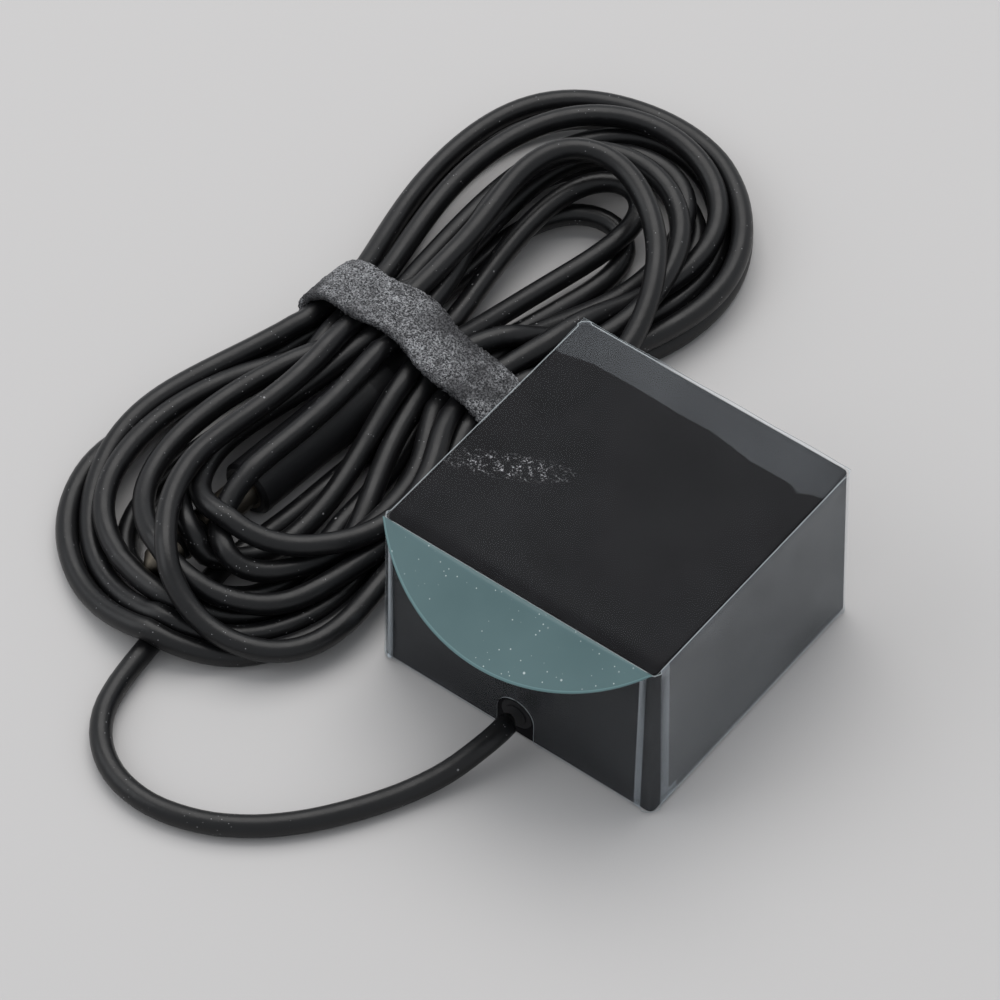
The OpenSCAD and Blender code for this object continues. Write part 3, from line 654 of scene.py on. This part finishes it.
# The tape's inner face round the strands, as (across, up) points, and their outward directions.
def tieOutline():
    pts = np.array(tieOpening + tieOpening[:1])
    s = alongLine(pts)
    at = np.linspace(0, s[-1], tape["around"], endpoint=False)
    p = np.stack([np.interp(at, s, pts[:, k]) for k in range(2)], 1)
    n = tape["evened"]
    p = sum(np.roll(p, k, 0) for k in range(-n, n + 1)) / (2 * n + 1)
    t = np.roll(p, -1, 0) - np.roll(p, 1, 0)
    t /= lengths(t)[:, None]
    outward = np.stack([t[:, 1], -t[:, 0]], 1)
    return p + tape["off"] * outward, outward


def tiePiece():
    count, rows = tape["around"], tape["across"]
    width = 2 * tie["half"] - tape["narrower"]
    rng = np.random.default_rng(tape["seed"])
    waves = [rng.normal(0, 1, 3) for _ in range(tape["waves"])]
    verts, faces = [], []
    for k, (center, outward) in enumerate(zip(*tieOutline())):
        a = 2 * math.pi * k / count
        shift = sum(tape["wave"] * w[0] * math.sin((n + 1) * a + w[1]) for n, w in enumerate(waves))
        swell = 0.5 + 0.5 * math.sin(tape["swells"] * a + tape["swellFrom"])
        for layer in range(2):                 # the inner face, then the outer one
            for j in range(rows):
                across = j / (rows - 1) - 0.5
                bow = tape["swell"] + tape["bow"] * (1 - (2 * across) ** 2)
                off = layer * tape["thick"] + bow * swell * tape["swellShare"]
                off += tape["fluff"] * rng.normal() * layer
                y, z = center + outward * off
                x = tie["at"] + width * across + shift + tape["fray"] * rng.normal()
                verts.append((x, y, max(z, tape["least"])))
    ring = 2 * rows
    for k in range(count):
        a, b = k * ring, (k + 1) % count * ring
        for j in range(rows - 1):
            faces.append((a + rows + j, b + rows + j, b + rows + j + 1, a + rows + j + 1))
            faces.append((a + j, a + j + 1, b + j + 1, b + j))
        faces.append((a, b, b + rows, a + rows))
        faces.append((a + rows - 1, a + ring - 1, b + ring - 1, b + rows - 1))
    obj = meshPiece("tie", fromHank(verts), faces, tieMaterial())
    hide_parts("hank_tie")
    return obj


plugNodes = ("plug_body", "plug_relief", "plug_premould", "plug_wires", "plug_sleeve", "plug_ring",
             "plug_tip", "plug_insulators", "plug_core")
[tiePiece()] + [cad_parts[node] for node in plugNodes]
print("stage: tie")


# The box in its films

shellLook = {
    "color": (0.0085, 0.0083, 0.0092), "rough": 0.6, "spread": 0.04, "grain": 5200, "depth": 0.0000012,
    "specular": 0.03,
    "patchAt": (-10.7, -3.7), "patchLong": 6.0, "patchWide": 1.5, "patchTurn": math.radians(26),
    "patchBand": (0.1, 1.5, 1.1, 0.0),         # read from the squared distance to its middle, 1 at its rim
    "topBand": (0.0185, 0.019),                # heights in metres between which the dust on the top begins
    "grains": (4200, 5.0, 0.7), "grainBand": (0.53, 0.6),
    "clumps": (1300, 3.0, 0.6), "clumpBand": (0.46, 0.58),
    "fewSpecks": (520, 0.3, 0.1), "fewShare": 0.5, "dustColor": (0.4, 0.4, 0.42),
}


# Matt moulding, with a streak of white dust on the top.
def shellMaterial():
    look = shellLook
    sh = moulded("shell", look)
    x, y = (sh.math("SUBTRACT", sh.axis(k), look["patchAt"][k] * mm) for k in range(2))
    long, wide = look["patchLong"] * mm, look["patchWide"] * mm
    cos, sin = math.cos(look["patchTurn"]), math.sin(look["patchTurn"])
    along = sh.math("ADD", sh.times(x, cos / long), sh.times(y, sin / long))
    across = sh.math("SUBTRACT", sh.times(y, cos / wide), sh.times(x, sin / wide))
    far = sh.math("ADD", sh.times(across, across), sh.times(along, along))
    streak = sh.times(sh.band(far, *look["patchBand"]), sh.band(sh.axis(2), *look["topBand"]))
    grains = sh.band(sh.noise(*look["grains"]), *look["grainBand"])
    clumps = sh.band(sh.noise(*look["clumps"]), *look["clumpBand"])
    few = sh.times(dustOn(sh, *look["fewSpecks"]), look["fewShare"])
    base = sh.bsdf.inputs["Base Color"].links[0].from_socket
    specks = sh.most(sh.times(streak, sh.times(grains, clumps)), few)
    sh.feed("Base Color", sh.mix(specks, base, look["dustColor"]))
    return sh.mat


# How every clear film varies, then each film's own shine, roughness and, for one, tint.
filmLook = {
    "tint": (0.9, 0.95, 1.0), "waves": (90, 3.0), "least": 0.8, "most": 1.25,
    "dents": (120, 2.0), "dentBump": (0.0002, 0.25),
}
films = {
    "filmClung": {"shine": 0.0025, "rough": 0.3},      # on the top, stuck down
    "filmLoose": {"shine": 0.024, "rough": 0.7},       # on the top, lifted
    "filmSide": {"shine": 0.028, "rough": 0.5},
    "filmRight": {"shine": 0.125, "rough": 0.3},
    # painted reflection: the pale strips at the corners get this strong, pale shine
    "filmPaintedReflection": {"shine": 0.3, "rough": 0.2, "tint": (0.8, 0.88, 0.95)},
}
edgeLook = {"color": (0.55, 0.6, 0.62), "roughness": 0.3, "alpha": 0.6}
filmEdge = Shader("filmEdge", edgeLook["color"], edgeLook["roughness"], Alpha=edgeLook["alpha"]).mat


def filmMaterial(name):
    look = {**filmLook, **films[name]}
    sh = Shader(name, look["tint"], look["rough"], Metallic=1.0)
    sh.mat.blend_method = "BLEND"
    shine = look["shine"]
    waves = sh.noise(*look["waves"])
    sh.feed("Alpha", sh.band(waves, *noiseSpan, shine * look["least"], shine * look["most"]))
    sh.bump(sh.noise(*look["dents"]), *look["dentBump"])
    return sh.mat


# A thin sheet from a grid of points, with its four cut edges. Its cut edges have the last of the
# materials, and pick gives the number of each other face's.
def sheetPiece(name, points, normals, thick, mats, pick, body="box"):
    p, n = np.asarray(points, float), np.asarray(normals, float)
    rows, columns = p.shape[:2]
    size = rows * columns
    verts = np.concatenate([(p + n * thick).reshape(-1, 3), p.reshape(-1, 3)])
    cells = [(i, j) for i in range(rows - 1) for j in range(columns - 1)]
    upper = [(a, a + 1, a + columns + 1, a + columns) for a in (i * columns + j for i, j in cells)]
    faces = upper + [tuple(size + a for a in reversed(face)) for face in upper]
    rim = ([(0, j) for j in range(columns)] + [(i, columns - 1) for i in range(1, rows)]
           + [(rows - 1, j) for j in range(columns - 2, -1, -1)] + [(i, 0) for i in range(rows - 2, 0, -1)])
    at = [i * columns + j for i, j in rim]
    faces += [(b, a, a + size, b + size) for a, b in zip(at, at[1:] + at[:1])]
    obj = meshPiece(name, verts, faces, body=body)
    for mat in mats:
        obj.data.materials.append(mat)
    for k, poly in enumerate(obj.data.polygons):
        edge = k >= 2 * len(cells)
        poly.material_index = len(mats) - 1 if edge else pick(*cells[k % len(cells)])
    return obj


# The box's sizes at its top. Its sides spread by draft towards the bottom, and the side film stands off
# them by out and ends at foot.
box = {"w": 31.7, "d": 31.3, "h": 20.75, "draft": 0.45, "foot": 0.3, "out": 0.09, "round": 0.9, "thick": 0.1}
top = {
    "columns": 65, "rows": 13, "wider": 0.3, "off": 0.03,
    "lift": 0.22, "wave": 0.06, "waves": 0.7,  # the loose part's height, and its ripple's height and rate
}
# Where the top film's loose part begins, as (x, y).
looseFrom = [
    (-16.0, 10.9), (-15.0, 11.0), (-12.0, 11.7), (-7.0, 11.8), (-1.3, 11.6), (2.2, 11.7), (5.3, 11.3),
    (7.6, 10.9), (10.2, 11.0), (12.5, 10.9), (13.6, 10.3), (14.2, 10.9), (16.0, 11.4),
]


def topFilm():
    w, d = box["w"] + top["wider"], box["d"] + top["wider"]
    xs = np.linspace(-w / 2, w / 2, top["columns"])
    edge = np.interp(xs, *zip(*looseFrom))
    shares = np.linspace(0, 1, top["rows"])
    rows = [(-d / 2 + (edge + d / 2) * t, 0) for t in shares]
    rows += [(edge + (d / 2 - edge) * t, t) for t in shares[1:]]
    pts = []
    for y, t in rows:
        lift = top["lift"] * math.sin(math.pi * t * 0.5) + top["wave"] * t * np.sin(xs * top["waves"])
        pts.append(np.stack([xs, y, np.full_like(xs, box["h"] + top["off"]) + lift], 1))
    up = np.broadcast_to((0, 0, 1), np.shape(pts))
    mats = [filmMaterial("filmClung"), filmMaterial("filmLoose"), filmEdge]
    obj = sheetPiece("topFilm", pts, up, box["thick"], mats, lambda i, j: int(i >= top["rows"] - 1))
    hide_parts("top_film")


# The side film's opening for the lead: half its width, the height of its round top's middle, and how the
# points along the front are set round it.
arch = {"half": 2.2, "z": 2.9, "points": 15, "turn": 1.5, "slit": 0.02}
side = {
    "frontPoints": 41, "sidePoints": 24, "cornerParts": 8, "heights": 15,
    "over": 0.02, "cornerOut": 0.25,           # how far it stands over the top, and out at the corners
}
# The pale strips beside the front's right corner are painted reflections: a strong pale shine where the
# curved film would mirror the bright surroundings. The front's is from x to xEnd, which narrows away from
# the height share tip; the right side's is up to y, and widens to the bottom and, above the share high, to
# the top.
pale = {
    "x": 13.9, "xEnd": 14.9, "narrowing": 0.8, "tip": 0.6,
    "y": -14.75, "bottom": 1.3, "bottomPower": 4, "top": 0.6, "high": 0.85,
}


# Places round the four sides from the front's left end: x, y, outward x and y, and which side. The sides
# are 0 front, 1 right, 2 back and 3 left, and the corners 4 front right, 5 back right, 6 back left and 7
# front left.
def sidePath():
    hw, hd, r = box["w"] / 2 + box["out"], box["d"] / 2 + box["out"], box["round"]
    half, slit, n = arch["half"], arch["slit"], side["sidePoints"]
    xs = [*np.linspace(-hw + r, hw - r, side["frontPoints"]), -half - slit, -half, half, half + slit]
    xs += [half * math.sin(a) for a in np.linspace(-arch["turn"], arch["turn"], arch["points"])]
    out = [(x, -hd, 0, -1, 0) for x in sorted(xs)]
    corners = [(hw - r, -hd + r), (hw - r, hd - r), (-hw + r, hd - r), (-hw + r, -hd + r)]
    after = [
        [(hw, y, 1, 0, 1) for y in np.linspace(-hd + r, hd - r, n)],
        [(x, hd, 0, 1, 2) for x in np.linspace(hw - r, -hw + r, n)],
        [(-hw, y, -1, 0, 3) for y in np.linspace(hd - r, -hd + r, n)],
        out[:1],
    ]
    for k, (x, y) in enumerate(corners):
        for j in range(1, side["cornerParts"]):
            a = math.radians(90 * (k - 1) + 90 * j / side["cornerParts"])
            out.append((x + r * math.cos(a), y + r * math.sin(a), math.cos(a), math.sin(a), 4 + k))
        out += after[k]
    return out


def sideFilm():
    path = sidePath()
    pts, normals = [], []
    for t in np.linspace(0, 1, side["heights"]):
        row = []
        for x, y, nx, ny, which in path:
            low = box["foot"]
            if which == 0 and abs(x) <= arch["half"]:
                low = arch["z"] + math.sqrt(max(0, arch["half"] ** 2 - x * x))
            z = low + (box["h"] + side["over"] - low) * t
            lean = box["draft"] * (box["h"] - z) / box["h"]
            off = lean + (side["cornerOut"] if which >= 4 else 0)
            row.append((x + nx * off, y + ny * off, z))
        pts.append(row)
        normals.append([(nx, ny, 0) for x, y, nx, ny, which in path])

    # which of the materials below a cell has: 0 dull, 1 shiny, 2 pale, a painted reflection
    def kind(i, j):
        x, y, nx, ny, which = path[j]
        t = i / (side["heights"] - 2)
        if which == 0:
            return 2 if pale["x"] < x < pale["xEnd"] - pale["narrowing"] * abs(t - pale["tip"]) else 0
        if which == 1:
            wide = pale["bottom"] * (1 - t) ** pale["bottomPower"] + pale["top"] * (t > pale["high"])
            return 2 if y < pale["y"] + wide else 1
        return {4: 0, 7: 2}.get(which, 1)

    mats = [filmMaterial("filmSide"), filmMaterial("filmRight"), filmMaterial("filmPaintedReflection"), filmEdge]
    obj = sheetPiece("sideFilm", pts, normals, box["thick"], mats, kind)
    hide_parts("side_film")


tab = {
    "half": 15.9, "reach": 7.8, "thick": 0.14, "rim": 0.3,
    "y": -16.1, "z": 21.2, "droop": math.radians(39),
    "columns": 81, "rows": 13,
    "curl": 0.006, "wave": 0.05, "waves": 0.35,         # its curl outward, and its ripple's height and rate
}
tabLook = {
    "color": (0.1, 0.19, 0.2), "roughness": 0.3, "alpha": 0.8, "specular": 0.4,
    "rimColor": (0.14, 0.25, 0.26), "rimAlpha": 0.9,
    "tones": (110, 3.0), "dark": (0.080, 0.152, 0.160), "pale": (0.1, 0.18, 0.189),
    "specks": (700, 0.5, 0.12), "fineSpecks": (1500, 0.54, 0.13), "dustColor": (0.62, 0.7, 0.7),
}


def tabMaterials():
    look = tabLook
    sh = Shader("tabFilm", look["color"], look["roughness"], Alpha=look["alpha"],
                Specular_IOR_Level=look["specular"])
    sh.mat.blend_method = "BLEND"
    specks = sh.most(dustOn(sh, *look["specks"]), dustOn(sh, *look["fineSpecks"]))
    tones = sh.band(sh.noise(*look["tones"]), *noiseSpan)
    sh.feed("Base Color", sh.mix(specks, sh.mix(tones, look["dark"], look["pale"]), look["dustColor"]))
    return [sh.mat, Shader("tabRim", look["rimColor"], look["roughness"], Alpha=look["rimAlpha"]).mat]


# The crescent that hangs from the top film's front edge; its rows go from its rim to the fold.
def tabPiece():
    half, reach = tab["half"], tab["reach"]
    r = (half ** 2 + reach ** 2) / (2 * reach)
    xs = half * np.sin(np.linspace(-1, 1, tab["columns"]) * math.pi / 2)
    depth = np.sqrt(np.maximum(0, r * r - xs * xs)) - (r - reach)
    out, down = math.cos(tab["droop"]), math.sin(tab["droop"])
    pts = []
    shares = np.linspace(0, 1, tab["rows"])[::-1]
    for d in [depth] + [np.maximum(0, depth - tab["rim"]) * t for t in shares]:
        curl = tab["curl"] * d * d + tab["wave"] * np.sin(xs * tab["waves"]) * d / reach
        pts.append(np.stack([xs, tab["y"] - d * out - curl * down, tab["z"] - d * down + curl * out], 1))
    up = np.broadcast_to((0, -down, out), np.shape(pts))
    obj = sheetPiece("tab", pts, up, tab["thick"], tabMaterials(), lambda i, j: int(i == 0), body="tab")
    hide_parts("pull_tab")


repaint(("top_shell",), shellMaterial())
topFilm()
sideFilm()
tabPiece()
print("stage: box")


# Floor and light

studio = {
    "floorSize": 3.0, "floorZ": -0.00005, "floorColor": (0.535, 0.525, 0.52), "floorRough": 0.75,
    "floorSpecular": 0.25, "paper": (900, 3.0), "paperBump": (0.00002, 0.15),
    "skyColor": (0.93, 0.96, 1.0), "sky": 0.62,
}
lamps = {
    "topLight": {"at": (-0.25, 0.35, 0.9), "size": 0.9, "energy": 6.0, "tint": (1.0, 0.98, 0.96)},
    "sideLight": {"at": (-0.7, -0.5, 0.7), "size": 0.8, "energy": 2.5, "tint": (0.98, 0.99, 1.0)},
}


def layFloor():
    floor = bpy.data.objects.new("floor", bpy.data.meshes.new("floor"))
    bm = bmesh.new()
    bmesh.ops.create_grid(bm, x_segments=2, y_segments=2, size=studio["floorSize"])
    bm.to_mesh(floor.data)
    bm.free()
    bpy.context.scene.collection.objects.link(floor)
    floor.location = (0, 0, studio["floorZ"])
    sh = Shader("floorPaper", studio["floorColor"], studio["floorRough"],
                Specular_IOR_Level=studio["floorSpecular"])
    sh.bump(sh.noise(*studio["paper"]), *studio["paperBump"])
    floor.data.materials.append(sh.mat)


# The sky's even light, and two lamps that look at the frame's origin.
def lightUp():
    world = bpy.data.worlds.new("studio")
    bpy.context.scene.world = world
    world.use_nodes = True
    background = world.node_tree.nodes["Background"]
    background.inputs["Color"].default_value = rgba(studio["skyColor"])
    background.inputs["Strength"].default_value = studio["sky"]
    for name, values in lamps.items():
        light = bpy.data.lights.new(name, "AREA")
        light.energy = values["energy"]
        light.size = values["size"]
        light.color = values["tint"]
        lamp = bpy.data.objects.new(name, light)
        bpy.context.scene.collection.objects.link(lamp)
        lamp.location = values["at"]
        lamp.rotation_euler = (-Vector(values["at"])).to_track_quat("-Z", "Y").to_euler()


layFloor()
lightUp()
print("stage: studio")
